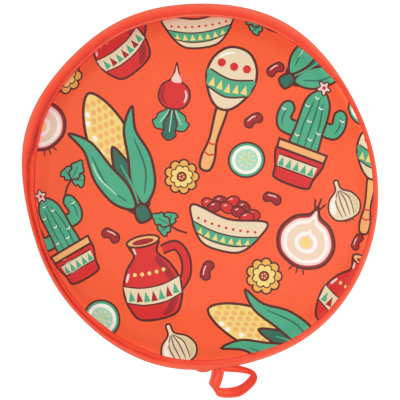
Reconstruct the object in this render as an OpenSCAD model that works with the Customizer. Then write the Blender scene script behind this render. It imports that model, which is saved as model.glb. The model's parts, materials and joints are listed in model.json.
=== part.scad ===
// Round padded tortilla pouch, lying on its back with its mouth towards +Y.
// Two padded discs are bound together round the rim; at the mouth each disc has its own tape,
// and the front disc lifts there as a flap. A loop of the same tape hangs at the foot.
// The origin is the centre of the flat back, +Z goes up through the front. Millimetres and degrees.

/* [Panels] */
// Outside diameter over the tape
pouch_d = 304.8; // [260:0.1:360]
// Thickness of the printed outer cloth
outer_t = 0.5; // [0.3:0.1:1]
// Thickness of the batting at its full loft
batting_t = 3.4; // [2:0.1:5]
// Thickness of the batting where the tape squeezes it
batting_edge_t = 1; // [0.6:0.1:1.6]
// Thickness of the lining cloth
lining_t = 0.4; // [0.2:0.1:0.8]
// Width over which a panel thins towards its tape
ease_w = 14; // [8:1:24]

/* [Pocket] */
// Height of the empty pocket at its middle
pocket_h = 12; // [9:1:24]
// How far the front sinks from its middle towards its rim
front_crown = 2; // [0:0.5:4]
// Width of the sloping shoulder inside the tape
shoulder_w = 46; // [30:1:56]

/* [Binding tape] */
// Thickness of the folded tape on each face
tape_t = 0.8; // [0.5:0.1:1.2]
// Width of the tape that shows along the sewn rim
rim_tape_w = 8; // [6:0.5:10]
// Width of the tape that shows along the mouth
mouth_tape_w = 10.5; // [10:0.5:14]

/* [Mouth] */
// Angle from the middle of the mouth to each of its ends
mouth_half_angle = 65; // [56:1:74]
// How far the flap stands open at rest
mouth_rest = 4.5; // [3:0.5:8]
// Gap between the two mouth tapes when the flap is shut
mouth_closed_gap = 0.6; // [0.5:0.1:2]
// Gap between the sewn front and the flap at their fold
fold_gap = 0.3; // [0.3:0.1:0.6]

/* [Hanging loop] */
// Direction of the loop, counter-clockwise from +X
loop_angle = 265; // [255:1:285]
// Width of the loop along the rim
loop_w = 41; // [34:1:50]
// Reach of the loop out from the rim
loop_reach = 26; // [22:1:34]
// Width of the loop's tape
loop_tape_w = 8; // [6:0.5:9]
// Width of the loop's tape where it runs along the rim
loop_root_w = 3.6; // [3:0.1:5]
// Thickness of the loop's tape
loop_tape_t = 1.8; // [1.2:0.1:2.4]
// Radius of the corners of the loop's eye
loop_corner_r = 1; // [0.5:0.1:2]
// Gap between the loop and the rim
loop_gap = 0.6; // [0.5:0.1:0.9]
// Height of the loop's tape over the surface that the pouch lies on
loop_lift = 0.2; // [0.1:0.1:1]

/* [Stitching] */
// Width of a run of thread
thread_w = 0.6; // [0.4:0.1:1]
// How far the thread stands proud of the tape
thread_h = 0.2; // [0.1:0.1:0.3]
// Distance from the tape's inner edge to its thread
stitch_inset = 1.6; // [1:0.1:3]
// Width of the bartack across the loop's tail
bartack_w = 9; // [6:0.5:12]
// Length of the bartack along the loop's tail
bartack_l = 1.6; // [1:0.1:2.4]
// Distance of the bartack inside the rim
bartack_inset = 3; // [2:0.1:5]

/* [Hidden] */
$fn = 180;

pouch_r = pouch_d / 2;
// Radius of the tape's folded edge
edge_r = tape_t * 0.9;
// Radii where the cloth ends inside the tape, where the panels lie flat under it, and where the shoulder starts
cloth_r = pouch_r - tape_t;
stack_r = pouch_r - mouth_tape_w;
shoulder_r = stack_r - shoulder_w;
shoulder_steps = 14;
plateau_steps = 4;
stations = concat(
    [for (i = [0 : plateau_steps - 1]) shoulder_r * i / plateau_steps],
    [for (i = [0 : shoulder_steps]) shoulder_r + shoulder_w * i / shoulder_steps],
    [cloth_r]
);

function mix(a, b, share) = a + (b - a) * share;
function ramp(x, from, to) = let (t = min(1, max(0, (x - from) / (to - from)))) (1 - cos(180 * t)) / 2;
// 0 inside the panel and 1 under the tape
function squeeze(r) = ramp(r, stack_r - ease_w, stack_r);

// Heights of the back panel's layers at a radius, from the surface it lies on
function back_bottom(r) = tape_t * squeeze(r);
function batting_at(r) = mix(batting_t, batting_edge_t, squeeze(r));
function back_outer_top(r) = back_bottom(r) + outer_t;
function back_batting_top(r) = back_outer_top(r) + batting_at(r);
function back_top(r) = back_batting_top(r) + lining_t;

// Heights of the front panel's layers, from the height of its lining at the rim
function pocket_at(r) = pocket_h - front_crown * ramp(r, 0, stack_r);
function front_bottom(r, edge) = back_top(r) + mix(pocket_at(r), edge - sewn_edge, ramp(r, shoulder_r, stack_r));
function front_lining_top(r, edge) = front_bottom(r, edge) + lining_t;
function front_batting_top(r, edge) = front_lining_top(r, edge) + batting_at(r);
function front_top(r, edge) = front_batting_top(r, edge) + outer_t;

// Heights at the rim: the sewn stack, and the flap when it is shut on the back panel's own tape
sewn_edge = back_top(cloth_r);
back_tape_top = sewn_edge + tape_t;
flap_edge = back_tape_top + mouth_closed_gap + tape_t;
rim_top = front_top(cloth_r, sewn_edge) + tape_t;
flap_tape_bottom = flap_edge - tape_t;
flap_tape_top = front_top(cloth_r, flap_edge) + tape_t;

// The line that the flap folds on
fold_y = pouch_r * cos(mouth_half_angle);
fold_z = front_top(fold_y, flap_edge);

// Places of the thread along each tape
rim_stitch_r = pouch_r - rim_tape_w + stitch_inset;
mouth_stitch_r = pouch_r - mouth_tape_w + stitch_inset;

// The loop's outline from above, counter-clockwise from its left root: shares of its width and of its reach
loop_points = [
    [0.21, 0], [0.34, 0.09], [0.46, 0.22], [0.53, 0.45], [0.49, 0.65], [0.35, 0.81],
    [0.1, 0.98], [-0.18, 0.96], [-0.34, 0.86], [-0.4, 0.68], [-0.47, 0.4], [-0.38, 0]
];
loop_curve_steps = 5;
loop_root = loop_points[0][0] - loop_points[len(loop_points) - 1][0];
// The bartack's place across the loop's tail, as a share of the loop's width
bartack_side = -0.24;

// A smooth curve through an open row of points
function along(points, i, t) = let (
    last = len(points) - 1,
    a = points[max(0, i - 1)],
    b = points[i],
    c = points[min(last, i + 1)],
    d = points[min(last, i + 2)]
) (2 * b + (c - a) * t + (2 * a - 5 * b + 4 * c - d) * t * t + (3 * b - a - 3 * c + d) * t * t * t) / 2;
function curve(points, steps) = concat(
    [for (i = [0 : len(points) - 2], k = [0 : steps - 1]) along(points, i, k / steps)],
    [points[len(points) - 1]]
);

// One layer of a panel, turned from its lower and upper heights at each station
module layer(low, high) {
    count = len(stations);
    rotate_extrude()
        polygon(concat(
            [for (i = [0 : count - 1]) [stations[i], low[i]]],
            [for (i = [count - 1 : -1 : 0]) [stations[i], high[i]]]
        ));
}

// Folded tape round the edge of a stack of cloth between two heights
module folded_tape(width, bottom, top) {
    turns = [0 : 30 : 90];
    rotate_extrude()
        polygon(concat(
            [[pouch_r - width, bottom]],
            [for (a = turns) [pouch_r - edge_r + edge_r * sin(a), bottom + edge_r - edge_r * cos(a)]],
            [for (a = turns) [pouch_r - edge_r + edge_r * cos(a), top - edge_r + edge_r * sin(a)]],
            [
                [pouch_r - width, top], [pouch_r - width, top - tape_t], [cloth_r, top - tape_t],
                [cloth_r, bottom + tape_t], [pouch_r - width, bottom + tape_t]
            ]
        ));
}

// A run of thread round the pouch on a face of the tape
module thread_ring(radius, height) {
    rotate_extrude()
        translate([radius - thread_w / 2, height])
            square([thread_w, thread_h]);
}

// Keeps what lies on the mouth's side of the fold, or on the sewn side
module mouth_side(gap = 0) {
    intersection() {
        children();
        translate([-pouch_d, fold_y + gap, -pouch_d]) cube(2 * pouch_d);
    }
}

module sewn_side() {
    intersection() {
        children();
        translate([-pouch_d, fold_y - 2 * pouch_d, -pouch_d]) cube(2 * pouch_d);
    }
}

// Stands the flap open on its fold, as it rests
module flap_pose() {
    translate([0, fold_y, fold_z])
        rotate([mouth_rest, 0, 0])
            translate([0, -fold_y, -fold_z])
                mouth_side(fold_gap) children();
}

// Back panel

module back_outer_fabric() {
    color("tomato")
        layer([for (r = stations) back_bottom(r)], [for (r = stations) back_outer_top(r)]);
}

module back_batting() {
    color("white")
        layer([for (r = stations) back_outer_top(r)], [for (r = stations) back_batting_top(r)]);
}

module back_lining() {
    color("ivory")
        layer([for (r = stations) back_batting_top(r)], [for (r = stations) back_top(r)]);
}

module back_mouth_binding() {
    color("orangered")
        mouth_side() folded_tape(mouth_tape_w, 0, back_tape_top);
}

module back_mouth_stitching() {
    color("red")
        mouth_side() thread_ring(mouth_stitch_r, back_tape_top);
}

// Front panel, the part that is sewn to the back

module front_outer_fabric() {
    color("tomato")
        sewn_side() layer(
            [for (r = stations) front_batting_top(r, sewn_edge)],
            [for (r = stations) front_top(r, sewn_edge)]
        );
}

module front_batting() {
    color("white")
        sewn_side() layer(
            [for (r = stations) front_lining_top(r, sewn_edge)],
            [for (r = stations) front_batting_top(r, sewn_edge)]
        );
}

module front_lining() {
    color("ivory")
        sewn_side() layer(
            [for (r = stations) front_bottom(r, sewn_edge)],
            [for (r = stations) front_lining_top(r, sewn_edge)]
        );
}

// Front panel, the flap at the mouth

module flap_outer_fabric() {
    color("tomato")
        flap_pose() layer(
            [for (r = stations) front_batting_top(r, flap_edge)],
            [for (r = stations) front_top(r, flap_edge)]
        );
}

module flap_batting() {
    color("white")
        flap_pose() layer(
            [for (r = stations) front_lining_top(r, flap_edge)],
            [for (r = stations) front_batting_top(r, flap_edge)]
        );
}

module flap_lining() {
    color("ivory")
        flap_pose() layer(
            [for (r = stations) front_bottom(r, flap_edge)],
            [for (r = stations) front_lining_top(r, flap_edge)]
        );
}

module front_mouth_binding() {
    color("orangered")
        flap_pose() folded_tape(mouth_tape_w, flap_tape_bottom, flap_tape_top);
}

module front_mouth_stitching() {
    color("red")
        flap_pose() thread_ring(mouth_stitch_r, flap_tape_top);
}

// Sewn rim

module rim_binding() {
    color("orangered")
        sewn_side() folded_tape(rim_tape_w, 0, rim_top);
}

module rim_stitching() {
    color("red")
        sewn_side() thread_ring(rim_stitch_r, rim_top);
}

// Hanging loop

// Puts a shape drawn with +Y out from the rim at the loop's place
module at_loop() {
    rotate([0, 0, loop_angle + 90])
        mirror([0, 1, 0])
            translate([0, pouch_r, 0]) children();
}

module loop_outline() {
    reach = loop_reach - loop_gap;
    polygon([for (p = curve(loop_points, loop_curve_steps)) [p[0] * loop_w, loop_gap + p[1] * reach]]);
}

// The loop's outline with its root side drawn out, so that an inset leaves the root narrower
module loop_filled() {
    extra = loop_tape_w - loop_root_w;
    union() {
        loop_outline();
        translate([loop_points[len(loop_points) - 1][0] * loop_w, loop_gap - extra])
            square([loop_root * loop_w, extra + loop_root_w]);
    }
}

// An opening inside the loop's outline, a distance in from its edge
module loop_inset(distance) {
    offset(r = loop_corner_r, $fn = 24) offset(delta = -distance - loop_corner_r) loop_filled();
}

module hanging_loop() {
    color("orangered")
        at_loop() translate([0, 0, loop_lift])
            linear_extrude(loop_tape_t) difference() {
                loop_outline();
                loop_inset(loop_tape_w);
            }
}

module loop_stitching() {
    color("red")
        at_loop() translate([0, 0, loop_lift + loop_tape_t])
            linear_extrude(thread_h) difference() {
                loop_inset(loop_tape_w - stitch_inset - thread_w);
                loop_inset(loop_tape_w - stitch_inset);
            }
}

module loop_bartack() {
    color("red")
        at_loop() translate([bartack_side * loop_w, -bartack_inset, rim_top + thread_h / 2])
            cube([bartack_w, bartack_l, thread_h], center = true);
}

back_outer_fabric();
back_batting();
back_lining();
back_mouth_binding();
back_mouth_stitching();
front_outer_fabric();
front_batting();
front_lining();
flap_outer_fabric();
flap_batting();
flap_lining();
front_mouth_binding();
front_mouth_stitching();
rim_binding();
rim_stitching();
loop_bartack();
hanging_loop();
loop_stitching();
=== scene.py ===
import json
import math

import bmesh
import bpy
import numpy as np
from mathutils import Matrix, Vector, noise
from mathutils.geometry import delaunay_2d_cdt


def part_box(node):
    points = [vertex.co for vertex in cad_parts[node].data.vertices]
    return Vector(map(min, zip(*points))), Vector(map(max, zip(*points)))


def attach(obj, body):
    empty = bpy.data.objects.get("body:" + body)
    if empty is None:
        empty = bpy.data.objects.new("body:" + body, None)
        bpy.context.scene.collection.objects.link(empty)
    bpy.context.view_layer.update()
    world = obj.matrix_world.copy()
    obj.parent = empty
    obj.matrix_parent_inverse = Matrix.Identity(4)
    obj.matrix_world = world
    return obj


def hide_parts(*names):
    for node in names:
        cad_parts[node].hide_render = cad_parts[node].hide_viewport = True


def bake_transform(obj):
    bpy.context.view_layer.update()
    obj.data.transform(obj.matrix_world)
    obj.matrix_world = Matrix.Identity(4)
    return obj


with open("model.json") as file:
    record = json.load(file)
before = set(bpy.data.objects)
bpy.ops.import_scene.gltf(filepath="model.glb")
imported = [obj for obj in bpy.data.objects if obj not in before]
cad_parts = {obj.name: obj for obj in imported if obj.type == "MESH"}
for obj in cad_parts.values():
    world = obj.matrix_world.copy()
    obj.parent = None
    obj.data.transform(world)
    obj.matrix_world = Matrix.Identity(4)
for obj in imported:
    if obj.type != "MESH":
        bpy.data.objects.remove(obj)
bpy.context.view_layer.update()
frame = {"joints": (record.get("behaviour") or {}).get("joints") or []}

MM = 0.001

# ---------------------------------------------------------------- sizes of the pouch, in metres

POUCH_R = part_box("rim_binding")[1].x
RIM_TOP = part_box("rim_binding")[1].z
BACK_TAPE_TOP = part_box("back_mouth_binding")[1].z
HINGES = {joint["name"]: joint["pos_m"] for joint in frame["joints"]}
FOLD_Y, FOLD_Z = HINGES["mouth_fold"][1:]
MOUTH_START = math.asin(FOLD_Y / POUCH_R)
MOUTH_END = math.pi - MOUTH_START
MOUTH_CLOSED_GAP = 0.6 * MM
MOUTH_REST = math.radians(4.5)

OUTER_T = 0.5 * MM
BATTING_T = 3.4 * MM
BATTING_EDGE_T = 1.0 * MM
LINING_T = 0.4 * MM
TAPE_T = 0.8 * MM
SEWN_EDGE = TAPE_T + OUTER_T + BATTING_EDGE_T + LINING_T
POCKET_H = 12 * MM
FRONT_CROWN = 2 * MM
SHOULDER_W = 46 * MM
EASE_W = 14 * MM
CLOTH_R = POUCH_R - 2.2 * MM

# Sizes of what the sewing does to the cloth beside the tape.
LIFT_SOFT = 18 * MM
SEAM_DIP = 0.7 * MM
SEAM_DIP_W = 3.5 * MM
RIPPLE_H = 0.30 * MM
RIPPLE_W = 9 * MM
PUCKER_H = 0.34 * MM
PUCKER_W = 26 * MM
# How the tape's groove pinches the batting, the least room left for it, and how far from the tape it is
# still packed hard.
PINCH_H = 0.8 * MM
PINCH_W = 1.0 * MM
BATTING_LEAST = 0.35 * MM
PACKED_W = 7 * MM
# Where the front's edge rises to lie over the back's own tape, from the fold towards the mouth.
STEP_FROM, STEP_TO = -26 * MM, -2 * MM

# The camera stands over the pouch, turned so that the mouth's middle is a little left of the top.
VIEW_TURN = math.radians(14)

# The bound edge isn't a true circle: (waves round the rim, size in mm, direction of a crest in degrees).
EDGE_WAVES = [
    (2, 3.3, 194), (3, 0.7, 95), (4, 1.5, 202), (5, 0.2, 40), (6, 0.3, 260), (7, 0.6, 312), (8, 0.3, 110),
]
EDGE_GROWTH = 0.4 * MM

# The tape by direction, as the camera sees it: (degrees, width on top in mm, depth of the stitched groove,
# the groove's place inward of the edge in mm, and the strength of the painted shade in the groove, along
# the tape's inner edge and on the cloth beside it; where the last is negative it is a painted highlight,
# and it also sets how far the cloth dips and the tape's inner edge rises).
TAPE_BY_VIEW = np.array([
    (0, 4.8, 0.15, 2.6, 0.05, 0.10, -0.10),
    (20, 4.8, 0.10, 2.4, 0.10, 0.10, -0.50),
    (34, 5.4, 0.20, 3.0, 0.20, 0.35, -0.50),
    (45, 8.6, 0.20, 6.0, 0.15, 0.35, -0.45),
    (60, 10.5, 0.15, 8.2, 0.22, 0.05, 0.60),
    (90, 10.7, 0.12, 8.4, 0.30, 0.05, 0.95),
    (105, 10.9, 0.12, 8.6, 0.34, 0.10, 1.00),
    (122, 10.3, 0.15, 8.0, 0.42, 0.15, 1.05),
    (140, 10.6, 0.20, 8.4, 0.50, 0.20, 1.00),
    (155, 11.4, 0.40, 9.0, 0.75, 0.30, 0.80),
    (165, 12.8, 0.80, 9.4, 1.05, 0.20, 0.45),
    (174, 11.6, 1.00, 5.8, 0.75, 0.75, 0.35),
    (185, 9.6, 1.00, 3.9, 0.70, 0.85, 0.30),
    (195, 8.5, 1.00, 4.0, 0.80, 0.75, 0.30),
    (210, 7.9, 1.00, 4.4, 1.05, 0.85, 0.30),
    (225, 7.8, 0.90, 3.9, 0.75, 0.55, 0.25),
    (236, 8.8, 0.85, 4.1, 0.75, 0.35, 0.20),
    (250, 9.0, 0.65, 5.0, 0.50, 0.30, 0.10),
    (265, 8.2, 0.25, 5.0, 0.12, 0.20, 0.02),
    (285, 7.4, 0.20, 3.8, 0.08, 0.15, 0.00),
    (302, 5.6, 0.20, 2.9, 0.06, 0.15, 0.00),
    (320, 5.4, 0.20, 3.0, 0.05, 0.45, 0.05),
    (340, 5.0, 0.20, 2.8, 0.05, 0.20, 0.00),
    (360, 4.8, 0.15, 2.6, 0.05, 0.10, -0.10),
])
WIDTH, GROOVE_DEPTH, GROOVE_PLACE, GROOVE_PAINTED_SHADE, EDGE_PAINTED_SHADE, CLOTH_DIP_AND_PAINTED_SHADE = range(1, 7)


def ramp(x, low, high):
    """0 up to low, 1 from high, and a smooth rise between."""
    t = np.clip((x - low) / (high - low), 0, 1)
    return t * t * (3 - 2 * t)


def hump(x, middle, width, power=2):
    """1 at the middle, falling smoothly to nothing on both sides."""
    return np.exp(-((x - middle) / width) ** power)


def polar(x, y):
    return np.hypot(x, y), np.arctan2(y, x)


def on_disc(angle, inward):
    """Points of the true disc at directions and distances inward of its edge."""
    return (POUCH_R - inward) * np.cos(angle), (POUCH_R - inward) * np.sin(angle)


def view_degrees(angle):
    """A direction of the part as the camera sees it."""
    return np.degrees(angle + VIEW_TURN) % 360


def by_view(angle, column):
    """One column of TAPE_BY_VIEW at directions of the part, eased from row to row."""
    degrees = view_degrees(angle)
    at, value = TAPE_BY_VIEW[:, 0], TAPE_BY_VIEW[:, column]
    k = np.clip(np.searchsorted(at, degrees, side="right") - 1, 0, len(at) - 2)
    return value[k] + (value[k + 1] - value[k]) * ramp(degrees, at[k], at[k + 1])


def tape_width(angle):
    """Width of the tape on top of the pouch."""
    return by_view(angle, WIDTH) * MM


def seam_at(angle):
    """Where the tape's sewn groove runs, inward of the edge."""
    return by_view(angle, GROOVE_PLACE) * MM


def edge_offset(angle):
    """How far the bound edge stands out from the true circle."""
    waves = (size * MM * np.cos(n * angle - math.radians(crest)) for n, size, crest in EDGE_WAVES)
    return EDGE_GROWTH + sum(waves)


def plan(x, y):
    """Moves points of the true disc to the pouch's own outline."""
    r, angle = polar(x, y)
    scale = 1 + edge_offset(angle) / POUCH_R * (r / POUCH_R) ** 2
    return x * scale, y * scale


def lift(y):
    """How far the open mouth raises the front at rest."""
    past = np.clip(y - FOLD_Y + LIFT_SOFT, 0, 2 * LIFT_SOFT)
    bend = past**2 / (4 * LIFT_SOFT) + np.maximum(y - FOLD_Y - LIFT_SOFT, 0)
    return math.tan(MOUTH_REST) * bend


def step_over_back(y):
    """How much higher the front's edge lies where the back has a tape of its own under it."""
    return (BACK_TAPE_TOP + MOUTH_CLOSED_GAP + TAPE_T - SEWN_EDGE) * ramp(y - FOLD_Y, STEP_FROM, STEP_TO)


def seam_dip(angle, beside):
    """How far the cloth is pulled down next to the tape's inner edge."""
    start = ramp(beside, -0.8 * MM, 0.6 * MM)
    return SEAM_DIP * by_view(angle, CLOTH_DIP_AND_PAINTED_SHADE) * start * np.exp(-np.maximum(beside, 0) / SEAM_DIP_W)


def ripples(x, y):
    """Small waves that the sewing pulls into the cloth beside the tape, strongest at the lower left."""
    r, angle = polar(x, y)
    beside = POUCH_R - r - tape_width(angle)
    view = view_degrees(angle)
    share = 0.35 + 0.65 * hump(view, 215, 65) + 0.3 * hump(view, 40, 22)
    fine = np.sin(angle * 37 + 2.1 * np.sin(angle * 5))
    fine = fine + 0.7 * np.sin(angle * 61 + 1.7 + 1.6 * np.sin(angle * 7))
    slow = np.sin(angle * 13 + 0.8) + 0.6 * np.sin(angle * 9 + 2 + 12 * r)
    waves = RIPPLE_H * fine * np.exp(-beside / RIPPLE_W) + PUCKER_H * slow * np.exp(-beside / PUCKER_W)
    return share * np.clip(beside / (3 * MM), 0, 1) * waves


def layers(x, y):
    """Heights of the pouch's layers at points of the disc: a dictionary of arrays."""
    r, angle = polar(x, y)
    inward = POUCH_R - r
    width = tape_width(angle)
    squeezed = 1 - ramp(inward, width, width + EASE_W)
    slope = 1 - ramp(inward, width, width + SHOULDER_W)
    batting = BATTING_T + (BATTING_EDGE_T - BATTING_T) * squeezed
    back_bottom = TAPE_T * squeezed
    back_top = back_bottom + OUTER_T + batting + LINING_T
    pocket = (POCKET_H - FRONT_CROWN * ramp(r, 0, POUCH_R)) * (1 - slope)
    front_bottom = back_top + pocket + lift(y) + step_over_back(y) * slope + ripples(x, y)
    pinch = PINCH_H * by_view(angle, GROOVE_DEPTH) * hump(inward, seam_at(angle), PINCH_W)
    front_batting = np.maximum(batting - pinch - seam_dip(angle, inward - width), BATTING_LEAST)
    packed = 1 - 0.5 * hump(np.maximum(inward - width, 0), 0, PACKED_W)
    return {
        "back_bottom": back_bottom,
        "back_outer_top": back_bottom + OUTER_T,
        "back_batting_top": back_top - LINING_T,
        "back_top": back_top,
        "front_bottom": front_bottom,
        "front_lining_top": front_bottom + LINING_T,
        "front_batting_top": front_bottom + LINING_T + front_batting * packed,
        "front_top": front_bottom + LINING_T + front_batting + OUTER_T,
    }


# ---------------------------------------------------------------- the front's soft relief

CELL = 4 * MM
CELLS = int(POUCH_R / CELL) + 3
RELIEF_CAP = 1.6 * MM
RELIEF_FRAMES = 18
# How the front panel behaves as cloth: stiff along its threads, pressed up a little by the batting.
CLOTH_SETTINGS = {
    "vertex_group_mass": "held",
    "quality": 6,
    "mass": 0.12,
    "tension_stiffness": 18,
    "compression_stiffness": 18,
    "shear_stiffness": 8,
    "bending_stiffness": 3.0,
    "shrink_min": -0.006,
    "use_pressure": True,
    "uniform_pressure_force": 0.05,
}


def simulate_front():
    """Lets the front panel settle as cloth held by the tape; returns how far each grid point moved."""
    side = np.arange(-CELLS, CELLS + 1) * CELL
    grid_x, grid_y = np.meshgrid(side, side, indexing="ij")
    inside = np.hypot(grid_x, grid_y) < CLOTH_R
    number = -np.ones(grid_x.shape, int)
    number[inside] = np.arange(inside.sum())
    x, y = grid_x[inside], grid_y[inside]
    px, py = plan(x, y)
    rest = np.stack([px, py, layers(x, y)["front_top"]], axis=1)
    corners = [number[:-1, :-1], number[1:, :-1], number[1:, 1:], number[:-1, 1:]]
    quads = np.stack([c.ravel() for c in corners], axis=1)
    quads = quads[(quads >= 0).all(axis=1)]
    mesh = bpy.data.meshes.new("relief")
    mesh.from_pydata(rest.tolist(), [], quads.tolist())
    cloth = bpy.data.objects.new("relief", mesh)
    scene = bpy.context.scene
    scene.collection.objects.link(cloth)
    r, angle = polar(x, y)
    pinned = np.nonzero(POUCH_R - r < tape_width(angle) + 1 * MM)[0]
    cloth.vertex_groups.new(name="held").add(pinned.tolist(), 1.0, "REPLACE")
    modifier = cloth.modifiers.new("cloth", "CLOTH")
    for name, value in CLOTH_SETTINGS.items():
        setattr(modifier.settings, name, value)
    modifier.settings.effector_weights.gravity = 0
    modifier.collision_settings.use_collision = False
    modifier.point_cache.frame_start = 1
    modifier.point_cache.frame_end = RELIEF_FRAMES
    for number_of_frame in range(1, RELIEF_FRAMES + 1):
        scene.frame_set(number_of_frame)
    settled = cloth.evaluated_get(bpy.context.evaluated_depsgraph_get())
    moved = np.array([v.co for v in settled.data.vertices]) - rest
    scene.frame_set(1)
    bpy.data.objects.remove(cloth)
    bpy.data.meshes.remove(mesh)
    length = np.linalg.norm(moved, axis=1, keepdims=True)
    field = np.zeros(grid_x.shape + (3,))
    field[inside] = moved * np.minimum(1, RELIEF_CAP / np.maximum(length, 1e-9))
    return field


def smoothed(field):
    """Averages each grid point with its neighbours."""
    padded = np.pad(field, ((1, 1), (1, 1), (0, 0)))
    across = (padded[:-2] + 2 * padded[1:-1] + padded[2:]) / 4
    return (across[:, :-2] + 2 * across[:, 1:-1] + across[:, 2:]) / 4


def curve_weights(t):
    """What four neighbouring values count for at t between the middle two, on a smooth curve."""
    return (
        (-t + 2 * t**2 - t**3) / 2,
        (2 - 5 * t**2 + 3 * t**3) / 2,
        (t + 4 * t**2 - 3 * t**3) / 2,
        (-t**2 + t**3) / 2,
    )


def field_at(field, x, y):
    """The relief at any points, by cubic interpolation on the grid."""
    u, v = x / CELL + CELLS, y / CELL + CELLS
    i, j = np.floor(u).astype(int), np.floor(v).astype(int)
    last = len(field) - 1
    total = np.zeros(x.shape + (3,))
    for a, across in enumerate(curve_weights(u - i)):
        for b, along in enumerate(curve_weights(v - j)):
            near = field[np.clip(i + a - 1, 0, last), np.clip(j + b - 1, 0, last)]
            total += near * (across * along)[:, None]
    return total


RELIEF = smoothed(simulate_front())


def surface(layer, x, y):
    """Points of one layer in the row frame. The front's layers follow its soft relief."""
    px, py = plan(x, y)
    points = np.stack([px, py, layers(x, y)[layer]], axis=1)
    return points + field_at(RELIEF, x, y) if layer.startswith("front") else points


# ---------------------------------------------------------------- the print

INK = "ink"
INK_W = 1.7
# Colours of the print as they look, red, green and blue of 255.
PRINT = {
    "ground": (251, 91, 45),
    "ink": (80, 14, 4),
    "cream": (239, 216, 180),
    "shade": (226, 198, 150),
    "teal": (74, 170, 130),
    "deep_teal": (44, 102, 84),
    "mint": (170, 222, 190),
    "red": (218, 36, 34),
    "deep_red": (162, 24, 30),
    "pink": (250, 206, 198),
    "yellow": (246, 214, 124),
    "deep_yellow": (238, 178, 84),
    "apricot": (247, 178, 108),
    "white": (252, 244, 232),
}


def linear(colour):
    """Scene-linear red, green, blue and alpha of a colour given as it looks."""
    parts = [c / 255 for c in colour]
    return tuple(c / 12.92 if c < 0.04045 else ((c + 0.055) / 1.055) ** 2.4 for c in parts) + (1.0,)


# A shape of the print is a list of (closed outline, colour), painted in order. Millimetres.

def full_turn(count):
    """Angles at equal steps round a circle."""
    return np.arange(count) * 2 * math.pi / count


def turned(points, angle):
    """Points turned counter-clockwise about the origin."""
    c, s = math.cos(angle), math.sin(angle)
    return np.asarray(points, float) @ np.array([[c, s], [-s, c]])


def mirrored(points):
    """Points and then their mirror images across the middle line, back to the start."""
    return points + [(-x, y) for x, y in points[::-1] if x]


def oval(cx, cy, rx, ry, turn=0, count=28):
    t = full_turn(count)
    return (cx, cy) + turned(np.stack([rx * np.cos(t), ry * np.sin(t)], axis=1), math.radians(turn))


def through(points, steps, before, after):
    """A smooth line through points, with steps between each two, from before its start to after its end."""
    row = np.array([before, *points, after], float)
    weights = curve_weights(np.arange(steps)[:, None] / steps)
    spans = [sum(w * row[k + i] for i, w in enumerate(weights)) for k in range(len(points) - 1)]
    return np.concatenate(spans + [row[-2:-1]])


def rounded(points, steps=6):
    """A smooth closed outline through given points."""
    return through([*points, points[0]], steps, points[-1], points[1])[:-1]


def unit(vectors):
    return vectors / np.maximum(np.linalg.norm(vectors, axis=-1, keepdims=True), 1e-12)


def counter_clockwise(outline):
    x, y = np.asarray(outline, float).T
    area = (x * np.roll(y, -1) - np.roll(x, -1) * y).sum()
    return np.stack([x, y], axis=1)[::1 if area > 0 else -1]


def grown(outline, by):
    """The outline moved outwards by a distance, or inwards where it is negative."""
    outline = counter_clockwise(outline)
    before = unit(outline - np.roll(outline, 1, axis=0))
    outwards = before[:, ::-1] * (1, -1)
    normal = unit(outwards + np.roll(outwards, -1, axis=0))
    sharp = np.maximum(0.45, (normal * outwards).sum(axis=1))
    return outline + normal * by / sharp[:, None]


def inked(outline, colour, width=INK_W):
    """A filled shape with an ink line round it."""
    return [(grown(outline, width / 2), INK), (grown(outline, -width / 2), colour)]


def brush(points, width, colour=INK, steps=5, ends=0.25):
    """A line drawn through points, thinner at its ends."""
    line = through(points, steps, points[0], points[-1])
    sideways = unit(np.gradient(line, axis=0))[:, ::-1] * (-1, 1)
    taper = ends + (1 - ends) * np.sin(math.pi * (np.arange(len(line)) + 0.5) / len(line)) ** 0.5
    half = width / 2 * taper[:, None] * sideways
    return [(np.concatenate([line + half, (line - half)[::-1]]), colour)]


def strokes(width, colour, *lines, ends=0.25):
    """Lines of one width and colour, each drawn through its points."""
    return [part for line in lines for part in brush(line, width, colour, ends=ends)]


def level(reach, pitch, y, sag=0.0, power=2):
    """Places at an even pitch along a painted band, which rises from its middle by sag."""
    return [(k * pitch, y + sag * abs(k) ** power) for k in range(-reach, reach + 1)]


def dots(places, radius, colour, count):
    return [(oval(x, y, radius, radius, count=count), colour) for x, y in places]


def teeth(places, half, tall, *colours):
    """Pointed teeth standing in a row, in colours taken in turn."""
    return [([(x - half, y), (x + half, y), (x, y + tall)], colours[k % len(colours)])
            for k, (x, y) in enumerate(places)]


def corn_cob():
    """A cob in its opened husk, about 80 long."""
    cob = rounded(mirrored([(-11, -20), (-13, -4), (-12, 14), (-7, 30), (0, 38)]) + [(0, -26)])
    shape = inked(cob, "yellow")
    for row in range(11):
        y = -19 + row * 5.0
        half = 12.2 * math.sqrt(max(0, 1 - ((y - 2) / 37) ** 2))
        for column in range(-3, 4):
            x = column * 3.9 + (1.9 if row % 2 else 0)
            if abs(x) < half - 2:
                colour = "deep_yellow" if x > half * 0.45 else ("white" if x < -half * 0.62 else "apricot")
                shape.append((oval(x, y, 1.45, 1.9, count=12), colour))
    husk = rounded([(-3, -38), (-14, -30), (-19, -12), (-17, 6), (-21, 20), (-11, 10), (-6, -8), (-1, -24)])
    back = rounded(mirrored([(-5, -40), (-11, -26), (-6, -14), (0, 2)]))
    shape += inked(back, "deep_teal") + inked(husk, "teal") + inked(husk * (-1, 1), "teal")
    for side in (-1, 1):
        shape += brush([(side * 6, -32), (side * 13, -18), (side * 14, 2)], 1.2, "deep_teal")
    shape += brush([(-10, -26), (-15.5, -12), (-15.5, -2)], 1.1, "mint")
    shape += brush([(0, -37), (1, -24), (0, -10)], 1.3, "teal")
    return shape + inked(rounded(mirrored([(-4, -47), (-3.4, -38)])), "deep_teal")


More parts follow.
